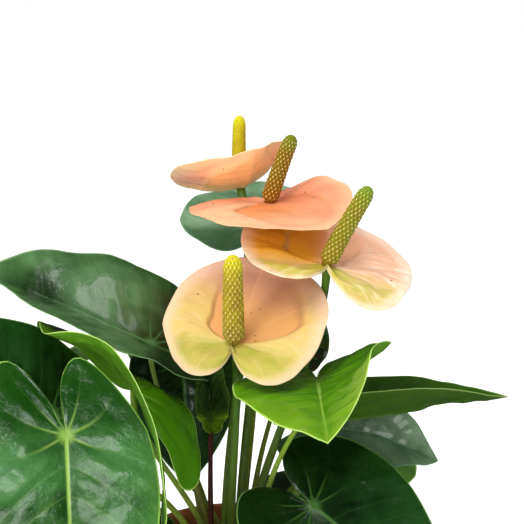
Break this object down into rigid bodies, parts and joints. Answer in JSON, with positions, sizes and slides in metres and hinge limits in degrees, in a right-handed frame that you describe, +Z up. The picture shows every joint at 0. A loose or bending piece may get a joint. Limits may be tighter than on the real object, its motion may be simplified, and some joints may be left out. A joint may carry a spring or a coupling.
{
  "type": "potted flamingo flower",
  "caption": "House plant with waxy heart-shaped blooms on tall stems above glossy heart-shaped leaves, in a plain clay pot that stands on its flat base.",
  "frame": {"origin": "middle of the pot's flat underside, which rests on the surface", "axes": "+Z up along the pot's axis; -Y towards the side that the picture shows; +X to that view's right"},
  "size_m": [0.352, 0.3439, 0.3763],
  "materials": {
    "leaf": "glossy dark green leaf",
    "young_leaf": "glossy bronze-green young leaf",
    "petiole": "smooth yellow-green stem",
    "young_petiole": "smooth dark red stem",
    "spathe": "waxy peach with yellow-green lobes",
    "spadix": "matte yellow-green covered in florets",
    "peduncle": "smooth green stem",
    "pot": "matte fired clay",
    "potting_mix": "dark crumbly mix"
  },
  "bodies": {
    "root": {"bloom_back_peduncle": "peduncle", "bloom_back_spadix": "spadix", "bloom_back_spathe": "spathe", "bloom_front_peduncle": "peduncle", "bloom_front_spadix": "spadix", "bloom_front_spathe": "spathe", "bloom_right_peduncle": "peduncle", "bloom_right_spadix": "spadix", "bloom_right_spathe": "spathe", "bloom_top_peduncle": "peduncle", "bloom_top_spadix": "spadix", "bloom_top_spathe": "spathe", "leaf_back_left_blade": "leaf", "leaf_back_left_petiole": "petiole", "leaf_back_low_blade": "leaf", "leaf_back_low_petiole": "petiole", "leaf_back_middle_blade": "leaf", "leaf_back_middle_petiole": "petiole", "leaf_back_right_blade": "leaf", "leaf_back_right_petiole": "petiole", "leaf_boat_right_blade": "leaf", "leaf_boat_right_petiole": "petiole", "leaf_bright_right_blade": "leaf", "leaf_bright_right_petiole": "petiole", "leaf_broad_left_blade": "leaf", "leaf_broad_left_petiole": "petiole", "leaf_dark_right_blade": "leaf", "leaf_dark_right_petiole": "petiole", "leaf_far_left_blade": "leaf", "leaf_far_left_petiole": "petiole", "leaf_folded_left_blade": "leaf", "leaf_folded_left_petiole": "petiole", "leaf_front_left_blade": "leaf", "leaf_front_left_petiole": "petiole", "leaf_front_low_blade": "leaf", "leaf_front_low_petiole": "petiole", "leaf_grey_right_blade": "leaf", "leaf_grey_right_petiole": "petiole", "leaf_high_back_blade": "leaf", "leaf_high_back_petiole": "petiole", "leaf_inner_right_blade": "leaf", "leaf_inner_right_petiole": "petiole", "leaf_low_left_blade": "leaf", "leaf_low_left_petiole": "petiole", "leaf_low_middle_blade": "leaf", "leaf_low_middle_petiole": "petiole", "leaf_side_left_blade": "leaf", "leaf_side_left_petiole": "petiole", "leaf_young_middle_blade": "young_leaf", "leaf_young_middle_petiole": "young_petiole", "pot": "pot", "potting_mix": "potting_mix"}
  },
  "joints": []
}
